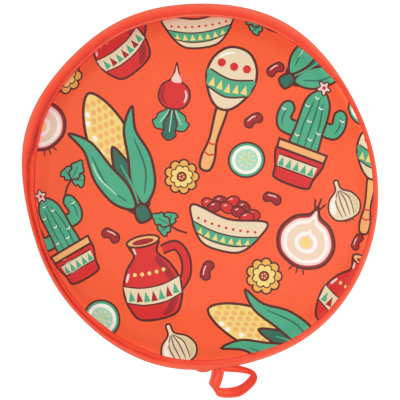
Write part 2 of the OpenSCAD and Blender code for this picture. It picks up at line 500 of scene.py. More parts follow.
def cactus():
    """A round-armed cactus in a banded clay pot, about 74 tall."""
    body = rounded(mirrored([(-9, -14), (-10, 4), (-9, 24), (0, 33)]))
    left = rounded([(-8, -4), (-20, -4), (-25, 4), (-24, 14), (-19, 17), (-15, 13), (-15, 6), (-8, 5)])
    right = rounded([(8, 3), (19, 3), (24, 11), (23, 22), (18, 25), (14, 21), (14, 13), (8, 12)])
    shape = inked(left, "teal") + inked(right, "teal") + inked(body, "teal")
    for x, low, high in ((-4.6, -10, 24), (0.4, -12, 28), (5.2, -10, 24)):
        shape += brush([(x, low), (x * 1.15, (low + high) / 2), (x * 0.7, high)], 1.3, "deep_teal")
    shape += strokes(1.2, "deep_teal", [(-19.5, -0.5), (-21, 5), (-20, 12)], [(18.5, 7), (20, 13), (19, 20)])
    for x, y in ((-7, 18), (-2, 8), (3, 20), (7, 2), (-7, -4), (2.6, -4), (-2, 26), (-22, 10), (20.6, 17)):
        shape += brush([(x - 1.7, y + 1.2), (x, y), (x + 1.7, y + 1.2)], 0.8, "white", steps=2)
    t = full_turn(40)
    petals = 4.2 * (1 + 0.28 * np.cos(5 * t))
    shape += inked(np.stack([petals * np.cos(t), 35 + petals * np.sin(t)], axis=1), "pink", 1.1)
    shape += dots([(0, 35)], 1.4, "red", 12)
    shape += inked(rounded(mirrored([(-16, -13), (-14, -30), (-11, -37)]), 5), "red")
    shape.append(([(-14.2, -20), (14.2, -20), (13.3, -28.5), (-13.3, -28.5)], "cream"))
    shape += teeth(level(2, 5.5, -27.6), 2.4, 6.6, "teal")
    shape += strokes(1.1, INK, [(-14.6, -20), (14.6, -20)], [(-13.6, -28.6), (13.6, -28.6)], ends=0.8)
    return shape + inked([(-18, -10), (18, -10), (17.4, -16), (-17.4, -16)], "apricot")


def rattle():
    """A rattle with a painted gourd and a turned handle, about 80 long."""
    gourd = rounded(mirrored([(-4, -1), (-11, 6), (-16, 18), (-14, 30), (-6, 38)]))
    handle = rounded(mirrored([(-3.4, 0), (-2.6, -22), (-4.4, -34), (-3, -42)]))
    band = mirrored([(-14.9, 16), (-15, 21), (0, 17.4)]) + mirrored([(13, 10.5), (0, 7)])
    shape = inked(handle, "apricot") + inked(gourd, "cream") + [(rounded(band), "teal")]
    edges = [(-14.6, 21.5), (0, 18), (14.6, 21.5)], [(-12.6, 10), (0, 6.5), (12.6, 10)]
    shape += strokes(1.2, INK, *edges, ends=0.8)
    shape += teeth(level(2, 5.4, 9.4, 0.88, 1), 2.2, 6, "yellow")
    shape += dots(level(1, 8.4, 26.5, 0.6, 1), 2.7, "red", 16)
    shape += brush([(-10.5, 30), (-7, 33.4), (-2, 35)], 1.8, "white")
    rings = [(-3.6, -31), (0, -32.4), (3.6, -31)], [(-2.8, -24), (0, -25.2), (2.8, -24)]
    return shape + strokes(1.1, "red", *rings, ends=0.8)


def onion_half():
    """An onion cut in two, its rings showing, about 56 tall."""
    skin = rounded(mirrored([(0, 26), (-4, 19), (-15, 13), (-22, 0), (-18, -14), (-6, -21)]))
    shape = strokes(1.5, INK, [(-2, 24), (-4, 31)], [(0, 24), (0.5, 33)], [(2, 24), (5, 30)])
    shape += strokes(1.2, INK, [(-3, -20), (-6, -26)], [(0, -20), (0, -27)], [(3, -20), (6, -26)])
    shape += inked(skin, "deep_red", 1.8)
    rings = ("pink", 0.88), ("white", 0.8), ("pink", 0.67), ("cream", 0.6), ("pink", 0.47), ("white", 0.4)
    for colour, share in rings + (("pink", 0.26), ("yellow", 0.19)):
        shape.append(((skin + (0, 3)) * share - (0, 3), colour))
    return shape + brush([(-16, 4), (-17, -3), (-13.6, -11)], 1.5, "white")


def radish():
    """A radish with its leaves, about 56 long."""
    shape = []
    for lean, reach in ((-32, 24), (30, 24), (0, 30)):
        leaf = mirrored([(0, 0), (3.2, 0.3), (6.2, 0.55), (5.2, 0.75), (6.4, 0.9), (0, 1.05)])
        leaf = turned(np.array(leaf) * (1, reach), math.radians(-lean)) + (0, 10)
        shape += inked(rounded(leaf, 4), "teal" if lean else "deep_teal", 1.5)
        shape += brush(turned([(0, 4), (0, reach * 0.8)], math.radians(-lean)) + (0, 10), 1.1, "mint")
    root = [(-9, 11), (-14, 3), (-12, -7), (-4, -13), (-1, -20), (1.5, -28), (2.4, -20), (5, -13), (12, -7),
            (14, 3), (9, 11), (0, 13)]
    tip = [(-5, -12.4), (-0.6, -20), (1.4, -26), (1.8, -20), (4.6, -12.6), (0, -10.6)]
    shade = [(5, 10), (11.4, 6), (12.4, -2), (9, -7), (9.4, 0), (8, 6)]
    shape += inked(rounded(root), "red") + [(rounded(tip, 4), "pink"), (rounded(shade, 4), "deep_red")]
    return shape + brush([(-9.6, 6), (-11, 0), (-9, -5)], 1.9, "pink")


def cucumber_slice():
    """A slice across a cucumber, 34 over."""
    shape = inked(oval(0, 0, 16.4, 15.6, count=40), "teal") + [(oval(0, 0, 13.6, 12.9, count=40), "white")]
    shape.append((oval(0, 0, 10.4, 9.8, count=36), "mint"))
    for a in full_turn(9) + 0.2:
        shape.append((oval(6.6 * math.cos(a), 6.2 * math.sin(a), 2.1, 0.95, math.degrees(a), 14), "cream"))
    for a in full_turn(3) + 0.5:
        shape.append((oval(2.3 * math.cos(a), 2.3 * math.sin(a), 1.9, 0.7, math.degrees(a), 12), "yellow"))
    return shape + brush([(-11.6, 7.4), (-13.8, 2), (-13.2, -4)], 1.3, "mint")


def garlic():
    """A head of garlic, about 40 tall."""
    sides = mirrored([(-3, 12), (-12, 5), (-16, -5), (-12, -14), (-4, -17)])
    shade = [(4, 8), (12, 3), (14.4, -5), (10.6, -12.6), (5, -14.6), (9.6, -6), (8, 2)]
    light = [(-4, 8.6), (-10.6, 3), (-13.6, -4), (-11.6, -9), (-8.8, -4), (-7, 3)]
    shape = inked(rounded([(-1.5, 20)] + sides + [(2.5, 20)], 5), "cream")
    shape += [(rounded(shade, 4), "shade"), (rounded(light, 4), "white")]
    for x in (-7, -2.2, 3, 8):
        shape += brush([(x * 0.15, 11), (x * 0.95, 1), (x * 0.8, -14)], 1.1, ends=0.15)
    for x in (-3, 0, 3):
        shape += brush([(x * 0.7, -16), (x * 1.3, -20)], 1.1)
    return shape + brush([(-4.6, 6), (-9, 0)], 0.9, "pink")


def clay_jug():
    """A painted jug with one handle, about 66 tall."""
    handle = [(13, 19), (24, 20), (29, 10), (27, -3), (19, -12)]
    shape = brush(handle, 8.4, ends=0.9) + brush(handle, 5.0, "red", ends=0.9)
    body = mirrored([(-11, 28), (-9, 18), (-17, 8), (-22, -6), (-20, -20), (-12, -30)])
    shade = [(9, 15), (15, 6), (19.4, -6), (17.6, -19), (11, -27.6), (4, -28.4), (12, -18), (14, -6), (10, 5),
             (6, 12)]
    shape += inked(rounded(body), "red", 1.8) + [(rounded(shade, 5), "deep_red")]
    upper = np.array(mirrored([(-21.6, -3), (-10, -6.4), (0, -7.2)]))
    lower = np.array(mirrored([(-21, -15), (-10, -18.6), (0, -19.4)]))
    shape.append((np.concatenate([upper, lower[::-1]]), "cream"))
    shape += teeth(level(3, 5.7, -17.4, 0.3), 2.6, 8, "teal", "deep_red")
    shape += strokes(1.1, INK, upper + (0, 0.4), lower - (0, 0.4), ends=0.8)
    shape += dots(level(2, 5.6, 3.4, 0.22), 1.5, "yellow", 10)
    shape += brush([(-15.6, 6), (-18.6, 0)], 2.0, "pink") + brush([(-8.4, 24), (-7.4, 19)], 1.6, "pink")
    shape += inked(oval(0, 28, 12.6, 4.2, count=30), "apricot", 1.6)
    return shape + [(oval(0, 27.6, 8.4, 2.2, count=24), "deep_red")]


def marigold():
    """An open flower with two rows of petals, 34 over."""
    shape = []
    for count, reach, depth, turn, colour, line in (
        (9, 16, 0.2, 0, "deep_yellow", 1.6), (8, 10.6, 0.22, 0.3, "yellow", 1.1),
    ):
        t = full_turn(count * 8)
        r = reach * (1 - depth + depth * abs(np.cos(count * (t - turn) / 2)) ** 0.6)
        shape += inked(np.stack([r * np.cos(t), r * np.sin(t)], axis=1), colour, line)
    shape += inked(oval(0, 0, 4.2, 4.2, count=20), "deep_red", 1.0)
    return shape + dots([(2 * math.cos(a), 2 * math.sin(a)) for a in full_turn(5)], 0.75, "yellow", 8)


def clay_bowl():
    """A painted bowl of beans, 62 wide."""
    shape = []
    heap = (-17, 10), (-9, 14), (0, 16), (9, 14), (17, 10), (-12, 9), (-3, 10.5), (6, 9.6), (13, 7)
    for k, (x, y) in enumerate(heap):
        shape += inked(oval(x, y, 5.4, 3.9, 25 * (k % 3) - 20, 20), "deep_red" if k % 2 else "red", 1.1)
        shape += brush([(x - 2.6, y + 0.8), (x - 0.6, y + 2)], 0.9, "pink", steps=2)
    bowl = mirrored([(-28, 7), (-25, -6), (-17, -17), (-8, -21)]) + [(0, 2.5)]
    upper = mirrored([(-24.6, -5.4), (-12, -8.6), (0, -9.6)])
    lower = mirrored([(20.4, -12.4), (10, -15.6), (0, -16.4)])
    shape += inked(rounded(bowl), "cream") + [(upper + lower, "teal")]
    shape += teeth(level(3, 6, -15.2, 0.22), 2.2, 4.6, "yellow")
    over = mirrored([(-25, -5), (-12, -8.3), (0, -9.3)])
    under = mirrored([(-20.6, -12.6), (-10, -15.9), (0, -16.7)])
    shape += strokes(1.1, INK, over, under, ends=0.8)
    return shape + dots(level(4, 5.4, -4.2, 0.13), 1.1, "red", 8)


def sprig():
    """A three-lobed herb leaf on a stalk, about 34 long."""
    shape = brush([(1.5, -17), (-0.5, -8), (0, 0)], 1.8, ends=0.8)
    for turn, reach in ((68, 13), (-68, 13), (0, 17)):
        lobe = mirrored([(0, 0), (5, 4), (4, 7), (6.2, 10), (3.6, 13), (0, reach)])
        lobe = turned(np.array(lobe) * (1, reach / 16), math.radians(turn))
        shape += inked(rounded(lobe, 4), "teal", 1.5)
        shape += brush(turned([(0, 2), (0, reach * 0.7)], math.radians(turn)), 1.1, "deep_teal")
    return shape


def bean():
    """A single bean, 17 long."""
    outline = mirrored([(-8, 0), (-6, 4.6), (0, 5.4)]) + mirrored([(5, -3.4), (0, -1.6)])
    return inked(rounded(outline, 5), "deep_red", 1.4) + brush([(-4.6, 2.6), (0, 3.5), (3.4, 3)], 1.1, "pink")


# Where each shape of the print lies, as the camera sees it: (shape, across, up, turn in degrees, size).
LAYOUT = [
    (corn_cob, -72, 30, 24, 1.35), (corn_cob, 50, -119, 68, 1.25), (corn_cob, 113, 114, -58, 1.15),
    (rattle, 18, 66, -16, 1.28), (rattle, 147, 8, -12, 1.15),
    (cactus, 90, 44, -20, 1.2), (cactus, -118, -42, 30, 1.1),
    (clay_jug, -42, -76, 12, 1.1), (clay_jug, 124, -90, -30, 1.05), (clay_jug, -72, 120, 40, 1.0),
    (clay_bowl, 22, -30, -14, 1.12), (clay_bowl, -2, 137, 6, 1.05),
    (onion_half, 88, -44, -20, 1.1), (onion_half, -134, 52, 20, 1.0),
    (radish, -22, 76, 172, 0.92),
    (cucumber_slice, 38, 22, 20, 0.92), (cucumber_slice, -84, -112, 50, 1.0),
    (cucumber_slice, 143, 68, 10, 0.95),
    (marigold, -16, 8, 0, 0.9), (marigold, 52, -74, 0, 0.92), (marigold, -114, 92, 0, 0.95),
    (garlic, 119, -13, 20, 0.9), (garlic, -20, -132, 24, 0.95),
    (sprig, -108, 6, -30, 1.0), (sprig, 50, 134, 60, 0.95), (sprig, -26, -32, 60, 0.95),
    (bean, 62, 96, 30, 0.95), (bean, 44, 54, 30, 1.0), (bean, 6, -70, 70, 1.0), (bean, -76, -42, -30, 1.0),
    (bean, 132, -47, 60, 0.9), (bean, 59, -11, -20, 0.95),
]


def placed(turn, mirror):
    """Every painted outline of the print in metres on the disc, in painting order."""
    out = []
    for shape, across, up, own_turn, size in LAYOUT:
        for outline, colour in shape():
            points = (across, up) + size * turned(outline, math.radians(own_turn))
            out.append((counter_clockwise(turned(points * (mirror, 1), turn) * MM), colour))
    return out


# ---------------------------------------------------------------- panels of cloth and batting

def colours_at(points, painted):
    """The colour of the topmost painted outline over each point."""
    chosen = np.zeros(len(points), int)
    order = np.argsort(points[:, 0])
    across = points[order, 0]
    for number, (ring, _) in enumerate(painted):
        low, high = ring.min(axis=0), ring.max(axis=0)
        near = order[np.searchsorted(across, low[0]):np.searchsorted(across, high[0])]
        near = near[(points[near, 1] > low[1]) & (points[near, 1] < high[1])]
        x, y = points[near, 0][:, None], points[near, 1][:, None]
        (ax, ay), (bx, by) = ring.T, np.roll(ring, -1, axis=0).T
        side = (bx - ax) * (y - ay) - (x - ax) * (by - ay)
        rising = (ay <= y) & (by > y) & (side > 0)
        falling = (ay > y) & (by <= y) & (side < 0)
        chosen[near[rising.sum(axis=1) > falling.sum(axis=1)]] = number + 1
    names = np.array(["ground"] + [colour for _, colour in painted])
    return names[chosen].tolist()


def disc_mesh(spacing, painted):
    """A triangulated disc whose edges follow every painted outline: points, triangles, colour of each."""
    rim_count = int(2 * math.pi * CLOTH_R / spacing)
    t = full_turn(rim_count)
    rings = [CLOTH_R * np.stack([np.cos(t), np.sin(t)], axis=1)] + [outline for outline, _ in painted]
    verts, edges = [], []
    for ring in rings:
        first, count = len(verts), len(ring)
        edges += [(first + k, first + (k + 1) % count) for k in range(count)]
        verts += [Vector(p) for p in ring]
    row_gap = spacing * math.sqrt(0.75)
    rows, columns = int(CLOTH_R / row_gap) + 1, int(CLOTH_R / spacing) + 1
    for j in range(-rows, rows + 1):
        for i in range(-columns, columns + 1):
            x, y = (i + 0.5 * (j % 2)) * spacing, j * row_gap
            if math.hypot(x, y) < CLOTH_R - spacing * 0.6:
                verts.append(Vector((x, y)))
    points, _, triangles, _, _, _ = delaunay_2d_cdt(verts, edges, [], 0, 1e-6, False)
    points, triangles = np.array([tuple(p) for p in points]), np.array(triangles)
    middles = points[triangles].mean(axis=1)
    triangles = triangles[np.hypot(middles[:, 0], middles[:, 1]) < CLOTH_R * math.cos(math.pi / rim_count)]
    a, b, c = (points[triangles[:, k]] for k in range(3))
    area = (b[:, 0] - a[:, 0]) * (c[:, 1] - a[:, 1]) - (c[:, 0] - a[:, 0]) * (b[:, 1] - a[:, 1])
    triangles[area < 0] = triangles[area < 0][:, ::-1]
    return points, triangles, colours_at(points[triangles].mean(axis=1), painted) if painted else []


def add_piece(name, points, faces, material):
    """A smooth mesh object at the origin from points in the row frame."""
    mesh = bpy.data.meshes.new(name)
    mesh.from_pydata(np.asarray(points).tolist(), [], faces)
    piece = bpy.data.objects.new(name, mesh)
    bpy.context.scene.collection.objects.link(piece)
    mesh.materials.append(material)
    mesh.polygons.foreach_set("use_smooth", [True] * len(mesh.polygons))
    mesh.update()
    return piece


def corner_points(mesh):
    """The number of the point at each face corner."""
    corner = np.zeros(len(mesh.loops), np.int32)
    mesh.loops.foreach_get("vertex_index", corner)
    return corner


def write_uv(piece, flat):
    """Gives each point of a piece its place on the flat cloth, in metres over the pouch's width."""
    layer = piece.data.uv_layers.new(name="cloth")
    corners = flat[corner_points(piece.data)] / (2 * POUCH_R) + 0.5
    layer.data.foreach_set("uv", corners.astype(np.float32).ravel())


def write_colour(piece, name, domain, colour):
    """Keeps a linear colour for each point or face corner of a piece in a named attribute."""
    layer = piece.data.attributes.new(name, "FLOAT_COLOR", domain)
    layer.data.foreach_set("color", colour.astype(np.float32).ravel())


def painted_seam_shade(x, y):
    """How far painted shade darkens the cloth's colours beside the tape, or a painted highlight lightens
    them:
    a factor for each of red, green and blue.
    """
    r, angle = polar(x, y)
    beside = np.maximum(POUCH_R - r - tape_width(angle), 0)
    share = by_view(angle, CLOTH_DIP_AND_PAINTED_SHADE) * (0.6 * hump(beside, 0, 2.2 * MM) + 0.45 * np.exp(-beside / (8 * MM)))
    return 1 - share[:, None] * (1 - np.array(SEAM_PAINTED_SHADE))


def panel(name, disc, under, over, material):
    """A closed layer of the pouch between two of its heights, on a triangulated disc."""
    flat, triangles, colours = disc
    used, compact = np.unique(triangles, return_inverse=True)
    flat, triangles = flat[used], compact.reshape(-1, 3)
    x, y = flat.T
    count = len(flat)
    sides = np.concatenate([triangles[:, [0, 1]], triangles[:, [1, 2]], triangles[:, [2, 0]]])
    _, first, uses = np.unique(np.sort(sides, axis=1), axis=0, return_index=True, return_counts=True)
    rim = sides[first[uses == 1]]
    walls = np.stack([rim[:, 1], rim[:, 0], rim[:, 0] + count, rim[:, 1] + count], axis=1)
    faces = (triangles + count).tolist() + triangles[:, ::-1].tolist() + walls.tolist()
    piece = add_piece(name, np.concatenate([surface(under, x, y), surface(over, x, y)]), faces, material)
    write_uv(piece, np.concatenate([flat, flat]))
    if colours:
        tones = np.array([linear(PRINT[c]) for c in colours * 2 + ["ground"] * len(walls)])
        tones = np.repeat(tones, [len(face) for face in faces], axis=0)
        # The print's colours with painted shade beside the tape, and a painted highlight where it is lighter.
        tones[:, :3] *= np.tile(painted_seam_shade(x, y), (2, 1))[corner_points(piece.data)]
        write_colour(piece, "print", "CORNER", tones)
    return piece


# ---------------------------------------------------------------- binding tape

# Colours as they look: the tape plain, its painted shade in folds and grooves, and its painted highlight.
TAPE_COLOUR = (252, 67, 31)
TAPE_PAINTED_SHADE = (184, 8, 4)
TAPE_PAINTED_HIGHLIGHT = (255, 178, 142)
# Painted shade on the cloth right beside the tape: what is left of each of its red, green and blue.
SEAM_PAINTED_SHADE = (0.80, 0.40, 0.46)
# How far in the tape starts to turn round the pouch's edge, and where its top starts on the flat tape.
TURN_R = 2.4 * MM
TOP_ACROSS = 4 * MM
# How much narrower the tape's inner face is, and where its ends thin out under another tape.
HEM_IN = 0.1 * MM
SINK_FROM, SINK_TO = 2 * MM, 7 * MM
# Round the rim: the pleat as the camera sees it, the loop's root, and the tape's folded tail from there.
TUCK_AT = math.radians(287.4)
LOOP_AT = math.radians(265)
TAIL_ALONG = -21.5 * MM
TAIL_OUT = 2.0 * MM
TAIL_W = 5.5 * MM
TAIL_FADE = 4 * MM
CREASE_H = 0.28 * MM
PLEAT_H = 0.55 * MM
PLEAT_W = 2.2 * MM
# The ridge that the stitches pull up along the tape's inner edge.
RIDGE_IN = 1.1 * MM
RIDGE_W = 0.9 * MM
RIDGE_H = 0.4 * MM


def steady_noise(value, seed):
    """Smooth noise along a line, from -1 to 1."""
    heights = [noise.noise(Vector((float(v), seed * 7.31, 0.5))) for v in np.ravel(value)]
    return np.array(heights).reshape(np.shape(value))


def gather(angle, inward, width):
    """Small creases across the inner band of the tape, strongest at the left."""
    view = view_degrees(angle)
    strength = 0.25 + 0.75 * hump((view - 215) % 360, 0, 60) + 0.75 * hump(view, 205, 42)
    crease = steady_noise(angle * 34, 1) + 0.6 * steady_noise(angle * 75, 2)
    return CREASE_H * strength * crease * np.clip((inward / width - 0.3) / 0.25, 0, 1)


def tuck(angles, inward, shift):
    """A small pleat that the tape makes at one place of its inner edge."""
    from_tuck = (angles + VIEW_TURN - TUCK_AT) * POUCH_R
    return hump(from_tuck, shift, 1.3 * MM) * hump(inward, tape_width(angles) - 0.9 * MM, 1.2 * MM)


def along_rim(angles, place):
    """Distance along the rim from a place given as an angle, counter-clockwise."""
    return ((angles - place + math.pi) % (2 * math.pi) - math.pi) * POUCH_R


def tail_lump(angles, inward):
    """How far the tape's folded tail pushes its edge out, beside the loop's root."""
    beside = hump(along_rim(angles, LOOP_AT), TAIL_ALONG, TAIL_W, 4)
    return TAIL_OUT * beside * np.clip(1 - inward / TAIL_FADE, 0, 1)


def inner_edge(inward, wide):
    """1 on the tape, and a quarter round down to 0 at its inner edge."""
    return np.sqrt(1 - np.clip((inward - wide) / TAPE_T + 1, 0, 1) ** 2)


def tape_thickness(inward, wide):
    return TAPE_T * (0.25 + 0.75 * inner_edge(inward, wide))


def pulled_edge(angles, inward, wide):
    """The ridge, or where negative the dip, that the stitches pull along the tape's inner edge."""
    return by_view(angles, CLOTH_DIP_AND_PAINTED_SHADE) * hump(inward, wide - RIDGE_IN, RIDGE_W)


def tape_relief(angles, inward):
    """Height of the tape's upper face over what it lies on: the roll, the sewn groove and its creases."""
    wide, seam = tape_width(angles), seam_at(angles)
    roll = 0.5 * hump(inward, 0.45 * seam, 0.42 * seam)
    band = 0.45 * hump(inward, (seam + wide) / 2, 0.25 * wide)
    cut = 0.25 * hump(inward, seam, 0.7 * MM)
    grooved = by_view(angles, GROOVE_DEPTH) * (roll + band - cut) * MM
    ridge = RIDGE_H * pulled_edge(angles, inward, wide)
    pleat = PLEAT_H * (tuck(angles, inward, PLEAT_W) - tuck(angles, inward, 0))
    raised = grooved + ridge + pleat + gather(angles, inward, wide)
    return tape_thickness(inward, wide) + raised * inner_edge(inward, wide)


def tape_tone_and_painted_light(angles, inward):
    """Tone of the tape from pale, -1, to deep, 1: painted shade in its groove, along its inner edge and in
    the pleat, random streaks and patches, and painted highlights on the ridge, the outer roll and the lamp's
    side.
    """
    wide, seam = tape_width(angles), seam_at(angles)
    # Painted shade along the sewn groove: a second line of it at the lower left, and a strength that varies
    # at random along the rim.
    foot = hump(along_rim(angles + VIEW_TURN, math.radians(258)), 0, 95 * MM, 4)
    spread = np.where(inward < seam, 0.27 * seam, np.maximum(0.2 * seam, 1.2 * MM)) * (1 - 0.4 * foot)
    uneven = 1 + 0.3 * steady_noise(angles * 50, 31)
    lines = hump(inward, seam, spread) + 0.4 * foot * hump(inward, seam + 2.4 * MM, 0.7 * MM)
    groove_line = by_view(angles, GROOVE_PAINTED_SHADE) * uneven * lines
    # Painted shade along the tape's inner edge.
    inner_line = by_view(angles, EDGE_PAINTED_SHADE) * hump(inward, wide, 1.0 * MM)
    streaks = 0.2 * by_view(angles, GROOVE_DEPTH) * steady_noise(angles * 21 + inward * 300, 9)
    patches = 0.08 * steady_noise(angles * 11, 14)
    # All the painted shade, with random streaks and patches of tone, and painted shade in the pleat.
    deep = groove_line + inner_line + streaks * (inward > seam) + patches + 0.9 * tuck(angles, inward, 0)
    # Painted highlight on the ridge that the stitches pull up.
    ridge = 0.5 * pulled_edge(angles, inward, wide)
    # Painted highlight along the outer roll, faded beside the loop's root.
    free_edge = 1 - 0.85 * hump(along_rim(angles, LOOP_AT), -6 * MM, 19 * MM, 4)
    outer = 0.24 * free_edge * hump(inward, 0, 0.3 * seam + 0.8 * MM)
    # Painted light on the side of the rim towards the key lamp.
    lamp_side_painted_light = 0.06 * (1 + np.cos(angles + VIEW_TURN - math.radians(330)))
    return np.clip(deep, 0, 1) - np.maximum(ridge, 0) - outer - lamp_side_painted_light


def write_tape_colour_with_painted_light(piece, share):
    """Colours each point of a piece of tape between its plain tone, 0, and its painted shade, 1,
    or its painted highlight, -1.
    """
    plain, deep, pale = (np.array(linear(c)) for c in (TAPE_COLOUR, TAPE_PAINTED_SHADE, TAPE_PAINTED_HIGHLIGHT))
    share = share.ravel()[:, None]
    tone = plain + (deep - plain) * np.clip(share, 0, 1) + (pale - plain) * np.clip(-share, 0, 1)
    write_colour(piece, "tape_colour_and_painted_light", "POINT", tone)


def fix_normals(piece):
    """Makes a closed piece's faces point outwards."""
    work = bmesh.new()
    work.from_mesh(piece.data)
    bmesh.ops.recalc_face_normals(work, faces=work.faces)
    work.to_mesh(piece.data)
    work.free()


def lofted(name, lines):
    """A closed length of tape through lengthwise lines: each one's points, flat places and tones."""
    points, flat, tone = (np.stack(part, axis=1) for part in zip(*lines))
    stations, around = tone.shape
    index = np.arange(stations * around).reshape(stations, around)
    a, b = index[:-1], index[1:]
    quads = np.stack([a, b, np.roll(b, -1, axis=1), np.roll(a, -1, axis=1)], axis=-1).reshape(-1, 4)
    ends = [index[0].tolist(), index[-1][::-1].tolist()]
    piece = add_piece(name, points.reshape(-1, 3), quads.tolist() + ends, binding)
    write_uv(piece, flat.reshape(-1, 2))
    write_tape_colour_with_painted_light(piece, tone)
    fix_normals(piece)
    return piece


def tape(name, angles, top_layer, bottom_layer, sink=0.0):
    """Binding tape folded round the edge between two heights of the pouch.

    sink thins the tape near its ends, where another tape covers it."""
    wide = tape_width(angles)
    from_end = np.minimum(angles - angles[0], angles[-1] - angles) * POUCH_R
    ends = 1 - sink * (1 - ramp(from_end, SINK_FROM, SINK_TO))
    along = (angles - angles[0]) * POUCH_R
    lines = []

    def heights(layer, inward):
        return layers(*on_disc(angles, inward))[layer]

    def add_line(inward, z, across, tone=0.0):
        px, py = plan(*on_disc(angles, inward - tail_lump(angles, inward)))
        flat = np.stack([along, np.broadcast_to(across, along.shape)], axis=1)
        lines.append((np.stack([px, py, z], axis=1), flat, tone + 0 * along))

    def add_turn(degrees, low, high, reach, tone=0.0):
        """A line on the round of the edge, from the underside at -90 degrees to the top at 90."""
        c, s = math.cos(math.radians(degrees)), math.sin(math.radians(degrees))
        add_line(TURN_R - reach * c, (low + high) / 2 + (high - low) / 2 * s, TURN_R * s, tone)

    under, over = heights(bottom_layer, TURN_R), heights(top_layer, TURN_R)
    # The outer face: outwards along the underside, round the edge and back in along the top.
    for share in np.linspace(1, 0, 16):
        inward = TURN_R + (wide - TURN_R) * share
        z = heights(bottom_layer, inward) - tape_thickness(inward, wide) * ends
        add_line(inward, z, -inward, tape_tone_and_painted_light(angles, inward) * 0.5)
    low, high = under - TAPE_T * ends, over + tape_relief(angles, TURN_R) * ends
    for degrees in np.linspace(-90, 90, 15)[1:-1]:
        tone = tape_tone_and_painted_light(angles, TURN_R * (1 - math.cos(math.radians(degrees))))
        add_turn(degrees, low, high, TURN_R - TAPE_T * (1 - ends), tone)
    for share in np.linspace(0, 1, 16):
        inward = TURN_R + (wide - TURN_R) * share
        z = heights(top_layer, inward) + tape_relief(angles, inward) * ends
        add_line(inward, z, TOP_ACROSS + inward, tape_tone_and_painted_light(angles, inward))
    # The inner face, on the cloth.
    inner_wide = wide - HEM_IN - TURN_R
    for share in np.linspace(1, 0, 6):
        inward = TURN_R + inner_wide * share
        add_line(inward, heights(top_layer, inward), TOP_ACROSS + inward)
    for degrees in (60, 20, -20, -60):
        add_turn(degrees, under, over, TURN_R - TAPE_T)
    for share in np.linspace(0, 1, 6):
        inward = TURN_R + inner_wide * share
        add_line(inward, heights(bottom_layer, inward), -inward)
    return lofted(name, lines)


# ---------------------------------------------------------------- stitches

# The rim's stitches: their pitch on a circle this far inward, their place on the tape, height over it and
# size.
STITCH_PITCH = 3.1 * MM
STITCH_CIRCLE_IN = 8 * MM
STITCH_INSET = 1.7 * MM
STITCH_SEAT = 0.08 * MM
STITCH_SIZE = np.array([0.86 * STITCH_PITCH, 0.7 * MM, 0.55 * MM])
# The loop's stitches: their pitch, share of the way across the tape, bare ends and size.
LOOP_STITCH_PITCH = 2.7 * MM
LOOP_STITCH_AT = 0.14
LOOP_STITCH_FROM = 6 * MM
LOOP_STITCH_TO = 22 * MM
LOOP_STITCH_SIZE = np.array([2.3, 0.6, 0.45]) * MM
# The bartack: how many stitches, where from the loop's root, how wide, how far inward, height and size.
TACK_STITCHES = 9
TACK_ALONG = -10 * MM
TACK_W = 9 * MM
TACK_INWARD = 3.2 * MM
TACK_SEAT = 0.12 * MM
TACK_SIZE = np.array([0.7, 1.8, 0.4]) * MM


def clear_selection():
    for o in bpy.context.selected_objects:
        o.select_set(False)


def one_stitch():
    """The points and faces of one stitch, 1 long, 1 wide and 1 high about the origin."""
    clear_selection()
    bpy.ops.mesh.primitive_uv_sphere_add(segments=8, ring_count=6, radius=0.5)
    ball = bpy.context.object
    bpy.ops.object.mode_set(mode="EDIT")
    bpy.ops.mesh.select_all(action="SELECT")
    bpy.ops.transform.rotate(value=math.pi / 2, orient_axis="Y", center_override=(0, 0, 0))
    bpy.ops.object.mode_set(mode="OBJECT")
    points = np.array([v.co for v in ball.data.vertices])
    # A pulled stitch is flatter along its middle and dips into the cloth at both ends.
    points[:, 2] -= 0.9 * points[:, 0] ** 2
    faces = [list(p.vertices) for p in ball.data.polygons]
    bpy.data.meshes.remove(ball.data)
    return points, faces


def sewn_line(name, places, ups, size):
    """One stitch copied along a line of places, each pointing along the line.

    size is a stitch's length, width and height."""
    shape, faces = STITCH
    all_points, all_faces = [], []
    forwards = unit(np.gradient(places, axis=0))
    for number, (place, forward, up) in enumerate(zip(places, forwards, ups)):
        sideways = unit(np.cross(up, forward))
        axes = np.stack([forward, sideways, np.cross(forward, sideways)])
        all_points.append(place + (shape * size) @ axes)
        all_faces += [[number * len(shape) + i for i in face] for face in faces]
    return add_piece(name, np.concatenate(all_points), all_faces, thread)


def on_top(angles, inward, layer, above):
    """Places over one layer of the pouch, with the direction that is up at each."""
    x, y = on_disc(angles, inward)
    px, py = plan(x, y)
    return np.stack([px, py, layers(x, y)[layer] + above], axis=1), np.tile([0.0, 0.0, 1.0], (len(angles), 1))


def rim_seam(name, start, end, layer):
    """Stitches along the inner edge of a tape, on its upper face."""
    count = int((end - start) * (POUCH_R - STITCH_CIRCLE_IN) / STITCH_PITCH)
    angles = start + (np.arange(count) + 0.5) * (end - start) / count
    inward = tape_width(angles) - STITCH_INSET
    above = tape_relief(angles, inward) + STITCH_SEAT
    return sewn_line(name, *on_top(angles, inward, layer, above), STITCH_SIZE)


def loop_seam(outer, inner, up):
    """Stitches along the outer edge of the loop, except near its root."""
    line = outer + (inner - outer) * LOOP_STITCH_AT + up * (LOOP_HALF_T + 0.1 * MM)
    steps = distance_along(line)
    spots = np.arange(LOOP_STITCH_FROM, steps[-1] - LOOP_STITCH_TO, LOOP_STITCH_PITCH)
    places, ups = (np.stack([np.interp(spots, steps, row) for row in rows.T], axis=1) for rows in (line, up))
    return sewn_line("loop_stitches", places, ups, LOOP_STITCH_SIZE)


def loop_tack():
    """The dense stitches that hold the loop's root to the rim."""
    angles = LOOP_AT + (np.linspace(-TACK_W / 2, TACK_W / 2, TACK_STITCHES) + TACK_ALONG) / POUCH_R
    places, ups = on_top(angles, TACK_INWARD, "front_top", TAPE_T + TACK_SEAT)
    return sewn_line("bartack_stitches", places, ups, TACK_SIZE)


# ---------------------------------------------------------------- the hanging loop

